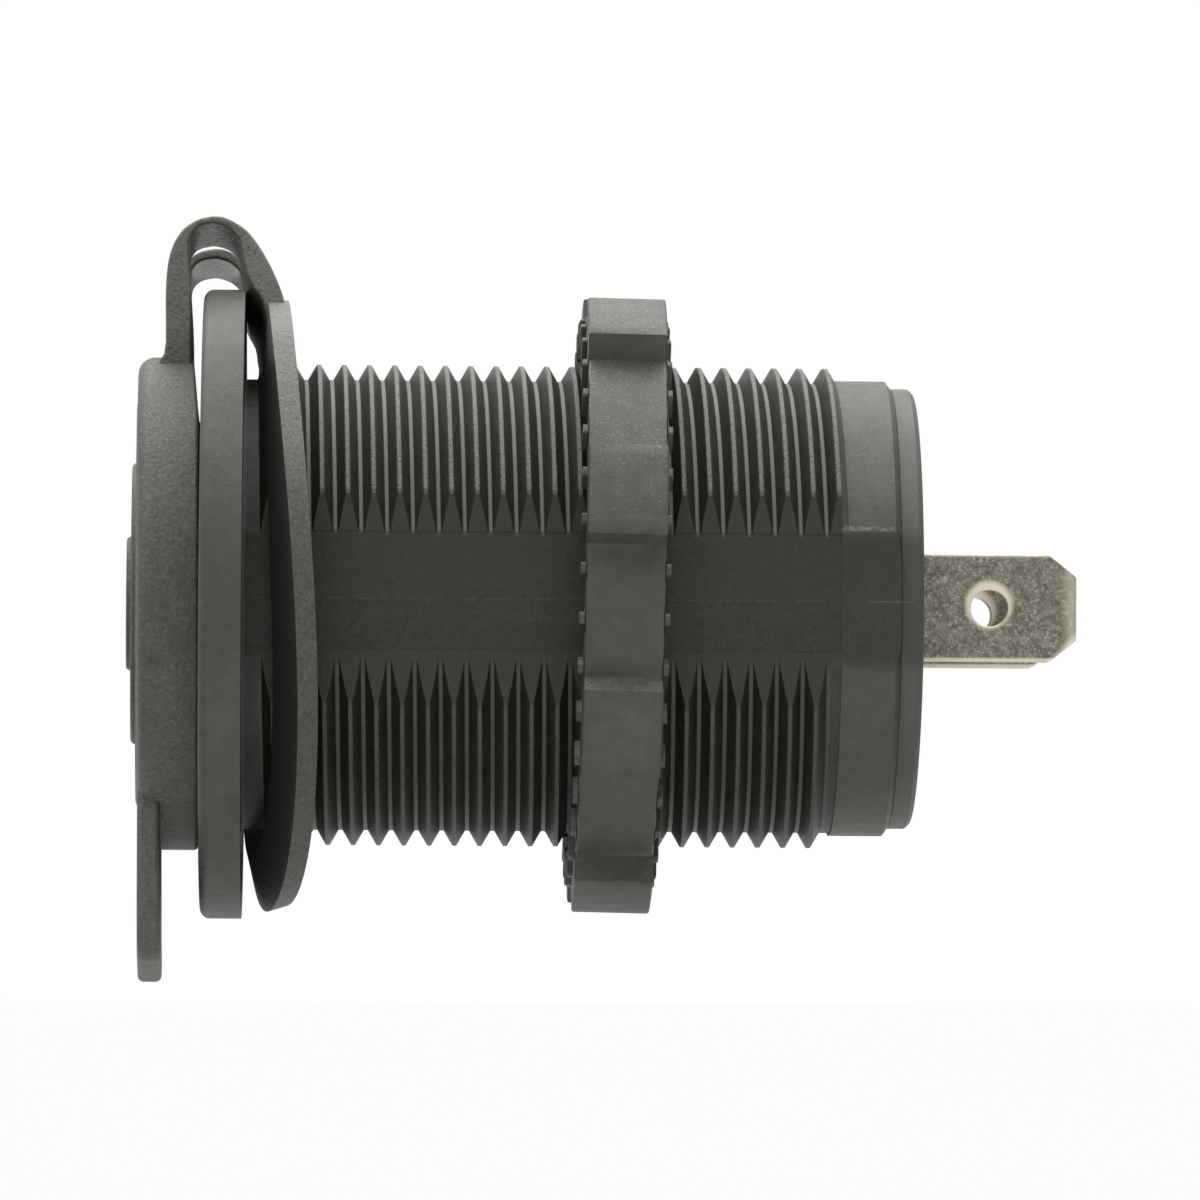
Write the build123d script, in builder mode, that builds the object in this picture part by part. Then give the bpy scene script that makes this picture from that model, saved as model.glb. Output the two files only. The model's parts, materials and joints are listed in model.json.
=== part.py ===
from build123d import *
import os
from math import cos, radians, sin, sqrt, tan

os.makedirs("parts", exist_ok=True)

# Flush-mount cigarette lighter socket, in millimetres.
# The X axis is the socket's axis: the mouth faces -X and the blades point to +X.
# X = 0 is the rear face of the flange, which seats on the panel. Z is up.

# Flange
flange_radius = 18.65
flange_thickness = 2.45
flange_edge_round = 0.6

# Threaded barrel with a flat on each side
crest_radius = 14.25
thread_pitch = 1.5
thread_flank_angle = 30.0
thread_crest_width = 0.22
thread_root_width = 0.24
thread_length = 34.8
thread_first_crest = 1.34
thread_arc = 160.0
ridge_root_overlap = 0.1
flat_distance = 12.9
flat_band_depth = 0.06
flat_band_low = -3.0
flat_band_high = 3.9

# Collar behind the thread, and the cover that closes the rear
collar_radius = 13.52
collar_length = 3.45
collar_chamfer_depth = 0.45
collar_chamfer_length = 0.33
cover_thickness = 1.33
cover_edge_bevel = 0.3
cover_flat_inset = 0.28
cover_spigot_length = 1.3
cover_spigot_wall = 1.0
cover_clearance = 0.08

# Contact sleeve: a drawn cup that takes the plug
sleeve_bore_radius = 10.5
sleeve_wall = 0.5
sleeve_clearance = 0.05
sleeve_front = 2.3
sleeve_bead_from_floor = 3.1
sleeve_bead_width = 0.8
sleeve_bead_height = 0.35
sleeve_corner_bevel = 0.3
mouth_chamfer = 0.3

# Housing floor behind the sleeve, and the chamber for the terminal feet
floor_thickness = 1.6
chamber_radius = 11.4
chamber_depth = 3.05

# Insulating bush, centre contact and the two rivets
bush_radius = 6.8
bush_flange_thickness = 1.0
bush_hub_radius = 3.9
bush_clearance = 0.1
contact_sheet = 0.5
contact_flat_radius = 3.3
contact_rise = 1.6
rivet_clearance = 0.05
centre_rivet_radius = 1.6
centre_head_radius = 2.6
centre_head_height = 1.1
ground_rivet_radius = 1.1
ground_head_radius = 1.5
ground_head_height = 0.5
ground_rivet_offset = 8.7

# Blade terminals, 6.3 by 0.8
blade_width = 6.3
blade_thickness = 0.8
blade_offset = 6.5
blade_drop = 0.15
blade_length = 9.37
blade_corner_length = 1.65
blade_corner_height = 1.3
blade_bevel = 0.22
blade_hole_radius = 1.08
blade_hole_from_end = 5.16
blade_bend_round = 1.0
blade_slot_clearance = 0.1
centre_foot_end = 3.1
ground_foot_end = 10.5

# Ring nut, part way along the thread and slightly cocked on it
nut_thickness = 4.6
nut_position = 22.1
nut_tilt = 1.1
nut_rise = 0.18
nut_clearance = 0.26
nut_root_inset = 1.65
nut_lobe_height = 1.66
nut_lobe_count = 8
nut_lobe_width = 5.55
nut_lobe_angle = 25.9
nut_bore_chamfer = 0.3
nut_rib_count = 36
nut_rib_angle = 5.0
nut_rib_height = 0.33
nut_rib_width = 0.66
nut_rib_length = 1.8
nut_rib_inset = 0.15

# Rubber moulding: sealing ring, strap and dust cap, leaning together about X
rubber_lean = 10.0
ring_clearance = 0.4
ring_width = 3.4
ring_thickness = 1.3
ring_near_position = 3.85
ring_middle_position = 2.0
ring_far_position = 0.72

strap_width = 13.0
strap_band_width = 5.2
strap_apex_x = -1.82
strap_apex_height = 22.12
crown_thickness = 0.45
leg_front_x = -4.55
leg_thickness = 1.5
leg_top_thickness = 1.35
strap_foot_inset = 0.3
rear_foot = (1.15, 2.2)
# Places X of the rear leg's two faces, each with its share of the height from foot to crown
rear_leg_outer = [(-0.03, 0.89), (1.45, 0.557), (2.3, 0.227)]
rear_leg_inner = [(1.15, 0.167), (0.45, 0.347), (-0.04, 0.596), (-0.29, 0.836)]
leg_shoulder_share = 0.376
crown_inner_share = 0.783
window_bottom_share = 0.47

cap_radius = 14.6
cap_gap = 0.25
cap_thickness = 3.55
cap_edge_round = 1.0
cap_web = 2.05
plug_radius = 10.7
plug_tip_radius = 10.4
plug_length = 4.5
plug_wall = 1.5
tongue_width = 13.0
tongue_thickness = 1.38
tongue_end = 22.1
tongue_corner_round = 3.0
tongue_edge_round = 0.35
relief_radius = 11.9
relief_height = 0.1
boss_radius = 8.4
boss_height = 0.4
button_radius = 3.95
button_height = 0.3

# Thread section
flank_slope = tan(radians(thread_flank_angle))
thread_depth = (thread_pitch - thread_crest_width - thread_root_width) / 2 / flank_slope
root_radius = crest_radius - thread_depth

# Places along X
collar_end = thread_length + collar_length
cover_end = collar_end + cover_thickness
floor_end = collar_end - chamber_depth
sleeve_end = floor_end - floor_thickness
sleeve_floor = sleeve_end - sleeve_wall
foot_end = floor_end + blade_thickness
blade_end = cover_end + blade_length
bush_front = sleeve_floor - bush_flange_thickness
contact_front = bush_front - contact_sheet
cap_rear = -flange_thickness - cap_gap
cap_front = cap_rear - cap_thickness

# Radii that seat on one another
cover_radius = collar_radius - collar_chamfer_depth
cover_flat_distance = flat_distance - cover_flat_inset
sleeve_outer_radius = sleeve_bore_radius + sleeve_wall
housing_bore_radius = sleeve_outer_radius + sleeve_clearance
centre_hole_radius = centre_rivet_radius + rivet_clearance
ground_hole_radius = ground_rivet_radius + rivet_clearance
nut_bore_radius = crest_radius + nut_clearance
nut_root_radius = flange_radius - nut_root_inset
nut_lobe_radius = nut_root_radius + nut_lobe_height
ring_inner_radius = crest_radius + ring_clearance
ring_outer_radius = ring_inner_radius + ring_width

# The strap's own plane: x along the socket's axis, y up the strap as it leans away
lean_sin = sin(radians(rubber_lean))
lean_cos = cos(radians(rubber_lean))
strap_plane = Plane(origin=(0, 0, 0), x_dir=(1, 0, 0), z_dir=(0, -lean_cos, lean_sin))


def revolved(points):
    """Solid of revolution about the socket's axis from a closed profile of (x, radius) points."""
    with BuildPart(mode=Mode.PRIVATE) as turned:
        with BuildSketch(Plane.XZ):
            with BuildLine():
                Polyline(*points, close=True)
            make_face()
        revolve(axis=Axis.X)
    return turned.part


def side_cut(start, length, distance, low, high):
    """What lies beyond a distance to either side, between two heights, from start on along X."""
    with BuildPart(mode=Mode.PRIVATE) as cut:
        with BuildSketch(Plane.YZ.offset(start)):
            with Locations((0, (low + high) / 2)):
                Rectangle(4 * distance, high - low)
            Rectangle(2 * distance, 4 * distance, mode=Mode.SUBTRACT)
        extrude(amount=length)
    return cut.part


# Housing

# One ridge of the thread, as long as the stretch of a turn between the two flats
with BuildPart() as thread_ridge:
    ridge_helix = Helix(
        pitch=thread_pitch,
        height=thread_pitch * thread_arc / 360,
        radius=root_radius,
        center=(-thread_pitch * thread_arc / 720, 0, 0),
        direction=(1, 0, 0),
    )
    ridge_start = ridge_helix @ 0
    ridge_foot_half = thread_crest_width / 2 + (thread_depth + ridge_root_overlap) * flank_slope
    with BuildSketch(Plane(origin=ridge_start, x_dir=(1, 0, 0), z_dir=(0, -1, 0))):
        with BuildLine():
            Polyline(
                (-ridge_foot_half, -ridge_root_overlap),
                (-thread_crest_width / 2, thread_depth),
                (thread_crest_width / 2, thread_depth),
                (ridge_foot_half, -ridge_root_overlap),
                close=True,
            )
        make_face()
    sweep(path=ridge_helix, is_frenet=True)

upper_turns = int((thread_length - thread_first_crest) / thread_pitch) + 1
lower_turns = int((thread_length - thread_first_crest) / thread_pitch - 0.5) + 1
upper_ridges = [
    Location((thread_first_crest + n * thread_pitch, 0, 0), (-thread_arc / 2, 0, 0))
    for n in range(upper_turns)
]
lower_ridges = [
    Location((thread_first_crest + (n + 0.5) * thread_pitch, 0, 0), (180 - thread_arc / 2, 0, 0))
    for n in range(lower_turns)
]

with BuildPart() as housing:
    with BuildSketch(Plane.XZ):
        with BuildLine():
            Polyline(
                (-flange_thickness, housing_bore_radius),
                (-flange_thickness, flange_radius),
                (0, flange_radius),
                (0, root_radius),
                (thread_length, root_radius),
                (thread_length, collar_radius),
                (collar_end - collar_chamfer_length, collar_radius),
                (collar_end, cover_radius),
                (collar_end, chamber_radius),
                (floor_end, chamber_radius),
                (floor_end, centre_hole_radius),
                (sleeve_end, centre_hole_radius),
                (sleeve_end, housing_bore_radius),
                close=True,
            )
        make_face()
    revolve(axis=Axis.X)
    front_rims = housing.edges().filter_by(GeomType.CIRCLE).group_by(Axis.X)[0].sort_by(SortBy.RADIUS)
    fillet(front_rims[-1], radius=flange_edge_round)
    mouth_rim = housing.edges().filter_by(GeomType.CIRCLE).group_by(Axis.X)[0].sort_by(SortBy.RADIUS)[0]
    chamfer(mouth_rim, length=mouth_chamfer)
    with Locations(*upper_ridges, *lower_ridges):
        add(thread_ridge.part)
    add(side_cut(0, collar_end, flat_distance, -crest_radius, crest_radius), mode=Mode.SUBTRACT)
    band_distance = flat_distance - flat_band_depth
    add(
        side_cut(0, thread_length, band_distance, flat_band_low, flat_band_high),
        mode=Mode.SUBTRACT,
    )
    with BuildSketch(Plane.YZ.offset(sleeve_end)):
        with Locations((ground_rivet_offset, 0)):
            Circle(ground_hole_radius)
    extrude(amount=floor_thickness, mode=Mode.SUBTRACT)
housing.part.label = "housing"
export_step(housing.part, "parts/housing.step")


# Rear cover: a disc with a spigot in the chamber and a slot for each blade

with BuildPart() as rear_cover:
    spigot_radius = chamber_radius - cover_clearance
    with BuildSketch(Plane.XZ):
        with BuildLine():
            Polyline(
                (collar_end, 0),
                (collar_end, spigot_radius - cover_spigot_wall),
                (collar_end - cover_spigot_length, spigot_radius - cover_spigot_wall),
                (collar_end - cover_spigot_length, spigot_radius),
                (collar_end, spigot_radius),
                (collar_end, cover_radius),
                (cover_end, cover_radius),
                (cover_end, 0),
                close=True,
            )
        make_face()
    revolve(axis=Axis.X)
    rear_rim = rear_cover.edges().filter_by(GeomType.CIRCLE).group_by(Axis.X)[-1]
    chamfer(rear_rim, length=cover_edge_bevel)
    with BuildSketch(Plane.YZ.offset(collar_end)):
        Rectangle(4 * cover_flat_distance, 4 * cover_flat_distance)
        Rectangle(2 * cover_flat_distance, 4 * cover_flat_distance, mode=Mode.SUBTRACT)
        with Locations((-blade_offset, -blade_drop), (blade_offset, -blade_drop)):
            Rectangle(
                blade_thickness + 2 * blade_slot_clearance,
                blade_width + 2 * blade_slot_clearance,
            )
    extrude(amount=cover_thickness, mode=Mode.SUBTRACT)
rear_cover.part.label = "rear_cover"
export_step(rear_cover.part, "parts/rear_cover.step")


# Contact sleeve: drawn cup with a rolled-in bead that stops the plug

bead_middle = sleeve_floor - sleeve_bead_from_floor
bead_half = sleeve_bead_width / 2
bead_crest_half = bead_half - sleeve_bead_height / 2
bead_bore = sleeve_bore_radius - sleeve_bead_height
bead_groove = sleeve_outer_radius - sleeve_bead_height

with BuildPart() as contact_sleeve:
    with BuildSketch(Plane.XZ):
        with BuildLine():
            Polyline(
                (sleeve_front, sleeve_bore_radius),
                (sleeve_front, sleeve_outer_radius),
                (bead_middle - bead_half, sleeve_outer_radius),
                (bead_middle - bead_crest_half, bead_groove),
                (bead_middle + bead_crest_half, bead_groove),
                (bead_middle + bead_half, sleeve_outer_radius),
                (sleeve_end, sleeve_outer_radius),
                (sleeve_end, bush_hub_radius + bush_clearance),
                (sleeve_floor, bush_hub_radius + bush_clearance),
                (sleeve_floor, sleeve_bore_radius),
                (bead_middle + bead_half, sleeve_bore_radius),
                (bead_middle + bead_crest_half, bead_bore),
                (bead_middle - bead_crest_half, bead_bore),
                (bead_middle - bead_half, sleeve_bore_radius),
                close=True,
            )
        make_face()
    revolve(axis=Axis.X)
    cup_corner = contact_sleeve.edges().filter_by(GeomType.CIRCLE).group_by(Axis.X)[-1].sort_by(SortBy.RADIUS)[-1]
    chamfer(cup_corner, length=sleeve_corner_bevel)
    with BuildSketch(Plane.YZ.offset(sleeve_floor)):
        with Locations((ground_rivet_offset, 0)):
            Circle(ground_hole_radius)
    extrude(amount=sleeve_wall, mode=Mode.SUBTRACT)
contact_sleeve.part.label = "contact_sleeve"
export_step(contact_sleeve.part, "parts/contact_sleeve.step")


# Insulating bush: flange inside the sleeve, hub through the sleeve's floor

with BuildPart() as insulating_bush:
    add(
        revolved(
            [
                (bush_front, centre_hole_radius),
                (bush_front, bush_radius),
                (sleeve_floor, bush_radius),
                (sleeve_floor, bush_hub_radius),
                (sleeve_end, bush_hub_radius),
                (sleeve_end, centre_hole_radius),
            ]
        )
    )
insulating_bush.part.label = "insulating_bush"
export_step(insulating_bush.part, "parts/insulating_bush.step")


# Centre contact: a sheet pressed into a dish, open towards the mouth

dish_front = contact_front - contact_rise
dish_bend_shift = contact_sheet * tan(radians(22.5))

with BuildPart() as centre_contact:
    add(
        revolved(
            [
                (contact_front, centre_hole_radius),
                (contact_front, contact_flat_radius),
                (dish_front, contact_flat_radius + contact_rise),
                (dish_front, contact_flat_radius + contact_rise + contact_sheet * sqrt(2)),
                (bush_front, contact_flat_radius + dish_bend_shift),
                (bush_front, centre_hole_radius),
            ]
        )
    )
centre_contact.part.label = "centre_contact"
export_step(centre_contact.part, "parts/centre_contact.step")


def rivet(shank_start, shank_end, shank_radius, head_radius, head_height):
    """Rivet along X with a domed head before the shank and a flatter, clenched head behind it."""
    head_tip = (shank_start - head_height, 0)
    clenched_tip = (shank_end + 0.7 * head_height, 0)
    with BuildPart(mode=Mode.PRIVATE) as made:
        with BuildSketch(Plane.XZ):
            with BuildLine():
                TangentArc(head_tip, (shank_start, head_radius), tangent=(0, 1))
                Polyline(
                    (shank_start, head_radius),
                    (shank_start, shank_radius),
                    (shank_end, shank_radius),
                    (shank_end, head_radius),
                )
                TangentArc(clenched_tip, (shank_end, head_radius), tangent=(0, 1))
                Line(clenched_tip, head_tip)
            make_face()
        revolve(axis=Axis.X)
    return made.part


with BuildPart() as centre_rivet:
    add(rivet(contact_front, foot_end, centre_rivet_radius, centre_head_radius, centre_head_height))
centre_rivet.part.label = "centre_rivet"
export_step(centre_rivet.part, "parts/centre_rivet.step")

with BuildPart() as ground_rivet:
    with Locations((0, ground_rivet_offset, 0)):
        add(rivet(sleeve_floor, foot_end, ground_rivet_radius, ground_head_radius, ground_head_height))
ground_rivet.part.label = "ground_rivet"
export_step(ground_rivet.part, "parts/ground_rivet.step")


def blade_terminal(side, foot_tip, rivet_place, hole_radius):
    """Blade at side * blade_offset, bent at the floor into a foot that ends at foot_tip in Y."""
    near_face = side * (blade_offset - blade_thickness / 2)
    far_face = side * (blade_offset + blade_thickness / 2)
    inwards = (foot_tip - side * blade_offset) * side < 0
    heel = far_face if inwards else near_face
    throat = near_face if inwards else far_face
    with BuildPart(mode=Mode.PRIVATE) as made:
        with BuildSketch(Plane.XY):
            with BuildLine():
                Polyline(
                    (floor_end, heel),
                    (floor_end, foot_tip),
                    (foot_end, foot_tip),
                    (foot_end, throat),
                    (blade_end, throat),
                    (blade_end, heel),
                    close=True,
                )
            make_face()
        extrude(amount=blade_width, both=True)
        bend = made.edges().filter_by(Axis.Z).group_by(Axis.X)[0].sort_by(Axis.Y)
        fillet(bend[0] if heel < foot_tip else bend[-1], radius=blade_bend_round)
        with BuildSketch(Plane.XZ.offset(-2 * chamber_radius)):
            with BuildLine():
                top = blade_width / 2 - blade_drop
                bottom = top - blade_width
                Polyline(
                    (floor_end, bottom),
                    (floor_end, top),
                    (blade_end - blade_corner_length, top),
                    (blade_end, top - blade_corner_height),
                    (blade_end, bottom + blade_corner_height),
                    (blade_end - blade_corner_length, bottom),
                    close=True,
                )
            make_face()
            with Locations((blade_end - blade_hole_from_end, -blade_drop)):
                Circle(blade_hole_radius, mode=Mode.SUBTRACT)
        extrude(amount=4 * chamber_radius, mode=Mode.INTERSECT)
        tip_edges = made.edges().filter_by(Axis.Z).group_by(Axis.X)[-1]
        chamfer(tip_edges, length=blade_bevel)
        with BuildSketch(Plane.YZ.offset(floor_end)):
            with Locations((rivet_place, 0)):
                Circle(hole_radius)
        extrude(amount=blade_thickness, mode=Mode.SUBTRACT)
    return made.part


with BuildPart() as positive_terminal:
    add(blade_terminal(-1, centre_foot_end, 0, centre_hole_radius))
positive_terminal.part.label = "positive_terminal"
export_step(positive_terminal.part, "parts/positive_terminal.step")

with BuildPart() as negative_terminal:
    add(blade_terminal(1, ground_foot_end, ground_rivet_offset, ground_hole_radius))
negative_terminal.part.label = "negative_terminal"
export_step(negative_terminal.part, "parts/negative_terminal.step")


# Ring nut: parallel-sided grip lobes round the rim, radial ribs on both faces

nut_sin = sin(radians(nut_tilt))
nut_cos = cos(radians(nut_tilt))
nut_plane = Plane(
    origin=(nut_position, 0, nut_rise), x_dir=(0, 1, 0), z_dir=(nut_cos, 0, -nut_sin)
)

with BuildPart() as ring_nut:
    with BuildSketch(nut_plane.offset(-nut_thickness / 2)):
        with PolarLocations(nut_lobe_radius / 2, nut_lobe_count, start_angle=nut_lobe_angle):
            Rectangle(nut_lobe_radius + 1, nut_lobe_width)
        Circle(nut_lobe_radius, mode=Mode.INTERSECT)
        Circle(nut_root_radius)
        Circle(nut_bore_radius, mode=Mode.SUBTRACT)
    extrude(amount=nut_thickness)
    bore_rims = ring_nut.edges().filter_by(GeomType.CIRCLE).sort_by(SortBy.RADIUS)[:2]
    chamfer(bore_rims, length=nut_bore_chamfer)
    with BuildSketch(nut_plane.offset(-nut_thickness / 2 - nut_rib_height)):
        with PolarLocations(
            nut_root_radius - nut_rib_inset - nut_rib_length / 2,
            nut_rib_count,
            start_angle=nut_rib_angle,
        ):
            Rectangle(nut_rib_length, nut_rib_width)
    extrude(amount=nut_thickness + 2 * nut_rib_height)
ring_nut.part.label = "ring_nut"
export_step(ring_nut.part, "parts/ring_nut.step")


# Strap: the front half belongs to the cap and the rear half to the sealing ring.
# They meet in the plane of the crown's apex, where the strap bends as the cap opens.

strap_apex = (strap_apex_x, strap_apex_height)
crown_underside = (strap_apex_x, strap_apex_height - crown_thickness)
leg_rear_x = leg_front_x + leg_thickness
leg_top_x = leg_front_x + leg_top_thickness
strap_foot = (ring_inner_radius + ring_outer_radius) / 2 - strap_foot_inset
strap_rise = strap_apex_height - strap_foot
underside_rise = strap_rise - crown_thickness
leg_shoulder_height = strap_foot + leg_shoulder_share * strap_rise
crown_inner_height = strap_foot + crown_inner_share * underside_rise
window_bottom = strap_foot + window_bottom_share * strap_rise
leg_foot = cap_radius - 2.0


# Window between the strap's two bands, cut from both halves
with BuildPart() as strap_window:
    with BuildSketch(strap_plane):
        with Locations((strap_apex_x, window_bottom)):
            Rectangle(2 * strap_width, strap_apex_height, align=(Align.CENTER, Align.MIN))
    extrude(amount=strap_width / 2 - strap_band_width, both=True)

with BuildPart() as sealing_ring:
    # A curved sheet, bowed from the flange on the far side to its standing near side
    with BuildSketch(Plane.XY):
        half = ring_thickness / 2
        reach = ring_outer_radius
        with BuildLine():
            ThreePointArc(
                (ring_near_position - half, -reach),
                (ring_middle_position - half, 0),
                (ring_far_position - half, reach),
            )
            Line((ring_far_position - half, reach), (ring_far_position + half, reach))
            ThreePointArc(
                (ring_far_position + half, reach),
                (ring_middle_position + half, 0),
                (ring_near_position + half, -reach),
            )
            Line((ring_near_position + half, -reach), (ring_near_position - half, -reach))
        make_face()
    extrude(amount=ring_outer_radius, both=True)
    with BuildSketch(Plane.YZ.offset(-flange_thickness)):
        Circle(ring_outer_radius)
        Circle(ring_inner_radius, mode=Mode.SUBTRACT)
    extrude(amount=4 * flange_thickness, mode=Mode.INTERSECT)
    # Rear half of the strap, from the crown down into the ring
    with BuildSketch(strap_plane):
        with BuildLine():
            outer = [(x, strap_foot + share * strap_rise) for x, share in rear_leg_outer]
            inner = [(x, strap_foot + share * underside_rise) for x, share in rear_leg_inner]
            Spline(strap_apex, *outer, tangents=[(1, 0), (0.3, -0.95)])
            Polyline(
                outer[-1],
                (rear_foot[1], strap_foot),
                (rear_foot[0], strap_foot),
                inner[0],
            )
            Spline(*inner, crown_underside, tangents=[(-0.5, 0.9), (-1, 0)])
            Line(crown_underside, strap_apex)
        make_face()
    extrude(amount=strap_width / 2, both=True)
    add(strap_window.part, mode=Mode.SUBTRACT)
sealing_ring.part.label = "sealing_ring"
export_step(sealing_ring.part, "parts/sealing_ring.step")


# Dust cap: disc with a hollow plug, raised centre, pull tongue and the strap's front half

# Pull tongue, hanging from the disc in line with the strap
with BuildPart() as pull_tongue:
    tongue_plane = Plane(
        origin=(cap_front, 0, 0), x_dir=(0, lean_cos, -lean_sin), z_dir=(1, 0, 0)
    )
    with BuildSketch(tongue_plane) as tongue_outline:
        with Locations((0, -tongue_end)):
            Rectangle(
                tongue_width,
                tongue_end - boss_radius - 1,
                align=(Align.CENTER, Align.MIN),
            )
        tongue_corners = tongue_outline.vertices().group_by(Axis.Y)[0]
        fillet(tongue_corners, radius=tongue_corner_round)
    extrude(amount=tongue_thickness)
    tongue_root = pull_tongue.faces().sort_by(Axis.Z)[-1]
    tongue_rims = pull_tongue.edges().filter_by(Axis.X, reverse=True) - tongue_root.edges()
    fillet(tongue_rims, radius=tongue_edge_round)

with BuildPart() as dust_cap:
    with BuildSketch(Plane.XZ):
        with BuildLine():
            Polyline(
                (cap_front + cap_web, 0),
                (cap_front + cap_web, plug_radius - plug_wall),
                (cap_rear + plug_length, plug_tip_radius - plug_wall),
                (cap_rear + plug_length, plug_tip_radius),
                (cap_rear, plug_radius),
                (cap_rear, cap_radius),
                (cap_front, cap_radius),
                (cap_front, relief_radius),
                (cap_front - relief_height, relief_radius),
                (cap_front - relief_height, boss_radius),
                (cap_front - boss_height, boss_radius - boss_height),
                (cap_front - boss_height, button_radius),
                (cap_front - boss_height - button_height, button_radius - button_height / 2),
                (cap_front - boss_height - button_height, 0),
                close=True,
            )
        make_face()
    revolve(axis=Axis.X)
    rims = dust_cap.edges().filter_by(GeomType.CIRCLE).sort_by(SortBy.RADIUS)[-2:]
    fillet(rims.sort_by(Axis.X)[0], radius=cap_edge_round)
    with BuildSketch(strap_plane):
        with BuildLine():
            Line(crown_underside, strap_apex)
            EllipticalCenterArc(
                (strap_apex_x, leg_shoulder_height),
                strap_apex_x - leg_front_x,
                strap_apex_height - leg_shoulder_height,
                start_angle=90,
                arc_size=90,
            )
            Polyline(
                (leg_front_x, leg_shoulder_height),
                (leg_front_x, leg_foot),
                (leg_rear_x, leg_foot),
                (leg_top_x, crown_inner_height),
            )
            EllipticalCenterArc(
                (strap_apex_x, crown_inner_height),
                strap_apex_x - leg_top_x,
                strap_apex_height - crown_thickness - crown_inner_height,
                start_angle=90,
                arc_size=90,
            )
        make_face()
    extrude(amount=strap_width / 2, both=True)
    add(strap_window.part, mode=Mode.SUBTRACT)
    add(pull_tongue.part)
dust_cap.part.label = "dust_cap"
export_step(dust_cap.part, "parts/dust_cap.step")
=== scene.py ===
"""Looks for a flush-mount cigarette lighter socket: its finishes, its rubber moulding and a white stage."""

import json
from math import cos, pi, radians, sin

import bmesh
import bpy
from bpy.props import FloatProperty, FloatVectorProperty, PointerProperty
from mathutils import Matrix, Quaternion, Vector


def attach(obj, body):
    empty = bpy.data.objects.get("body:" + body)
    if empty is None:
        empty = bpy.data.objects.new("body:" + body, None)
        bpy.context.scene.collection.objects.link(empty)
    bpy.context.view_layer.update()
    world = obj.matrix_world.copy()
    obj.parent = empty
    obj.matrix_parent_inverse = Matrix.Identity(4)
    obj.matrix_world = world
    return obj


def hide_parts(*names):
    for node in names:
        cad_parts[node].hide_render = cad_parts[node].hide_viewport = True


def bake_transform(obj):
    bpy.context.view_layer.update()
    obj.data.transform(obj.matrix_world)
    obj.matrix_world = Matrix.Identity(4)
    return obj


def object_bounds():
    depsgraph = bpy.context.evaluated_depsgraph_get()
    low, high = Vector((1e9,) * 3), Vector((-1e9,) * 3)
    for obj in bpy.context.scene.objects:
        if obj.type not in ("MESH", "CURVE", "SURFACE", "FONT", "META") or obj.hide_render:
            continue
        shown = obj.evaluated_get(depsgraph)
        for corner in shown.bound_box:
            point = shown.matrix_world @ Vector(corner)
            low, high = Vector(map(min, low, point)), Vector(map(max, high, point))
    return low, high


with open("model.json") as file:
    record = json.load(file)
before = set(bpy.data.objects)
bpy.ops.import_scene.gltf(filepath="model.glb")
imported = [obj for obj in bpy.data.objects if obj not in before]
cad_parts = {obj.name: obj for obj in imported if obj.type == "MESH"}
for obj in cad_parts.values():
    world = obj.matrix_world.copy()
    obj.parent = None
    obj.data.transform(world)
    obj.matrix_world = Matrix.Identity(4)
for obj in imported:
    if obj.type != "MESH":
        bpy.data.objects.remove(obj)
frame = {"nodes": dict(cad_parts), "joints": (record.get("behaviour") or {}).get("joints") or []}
nodes = frame["nodes"]
cad_low, cad_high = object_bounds()

bl_info = {
    "name": "Lighter socket looks",
    "version": (1, 0, 0),
    "blender": (4, 5, 0),
    "location": "View3D > Sidebar > Lighter socket",
    "description": "Finishes, rubber moulding and stage for a flush-mount lighter socket",
    "category": "Object",
}

MM = 0.001

# The directions across the strap and up it, from the hinge that it bends about
hinge = next(joint for joint in frame["joints"] if joint["name"] == "cap_hinge")
ACROSS = Vector(hinge["axis"])
UP_STRAP = Vector((0, -ACROSS.z, ACROSS.y))

# Places on the housing that its finish follows, in millimetres
CREST_RADIUS = 14.25
ROOT_RADIUS = 13.35
THREAD_PITCH = 1.5
FIRST_CREST = 1.34
THREAD_END = 34.8
COLLAR_END = 38.25
FLAT_DISTANCE = 12.9
FLAT_BAND = (-3.0, 3.9)
PARTING_LINE = -0.02
SEAM_HEIGHT = 4.2

# A blade, in millimetres: its half width, how far its middle lies below the axis, and how far its
# hole is from its tip and above its middle
BLADE_HALF = 3.15
BLADE_DROP = 0.15
HOLE_FROM_TIP = 5.16
HOLE_RISE = 0.22

# The soft moulding's hang, along X for each millimetre: it leans towards the mouth with height,
# and its near side bows closer to the flange
RUBBER_LEAN = 0.0063
NEAR_BOW = 0.014

# The dust cap, in millimetres: where the back of its disc is along X, and the plug's radius there
CAP_BACK = -2.7
PLUG_ROOT = 10.8

# The strap in its own plane, along X and up the strap, in millimetres: the top of its crown, the
# crown's thickness, the height where the window between its bands starts, and the stretch along X
# and the height of the strap's bend as the cap opens, which the script works out but does not apply
APEX = Vector((-1.82, 22.11))
CROWN = 0.42
WINDOW = 18.9
BEND_X = (-0.3, -3.15)
BEND_HEIGHT = 22.0

# The view, in millimetres and degrees: what the camera looks at, where it stands along the axis,
# how far it looks up, and its roll
VIEW_TARGET = (21.15, 0, 0.41)
VIEW_X = 4.8
VIEW_TILT = 2.0
VIEW_ROLL = 0.36


# Settings


def length(name, description, default):
    """A size in metres, given here in millimetres."""
    return FloatProperty(
        name=name,
        description=description,
        default=default * MM,
        min=0.0,
        subtype="DISTANCE",
        unit="LENGTH",
        precision=5,
    )


def colour(name, description, default):
    """A linear colour."""
    return FloatVectorProperty(
        name=name, description=description, default=default, min=0.0, max=1.0, subtype="COLOR"
    )


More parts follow.
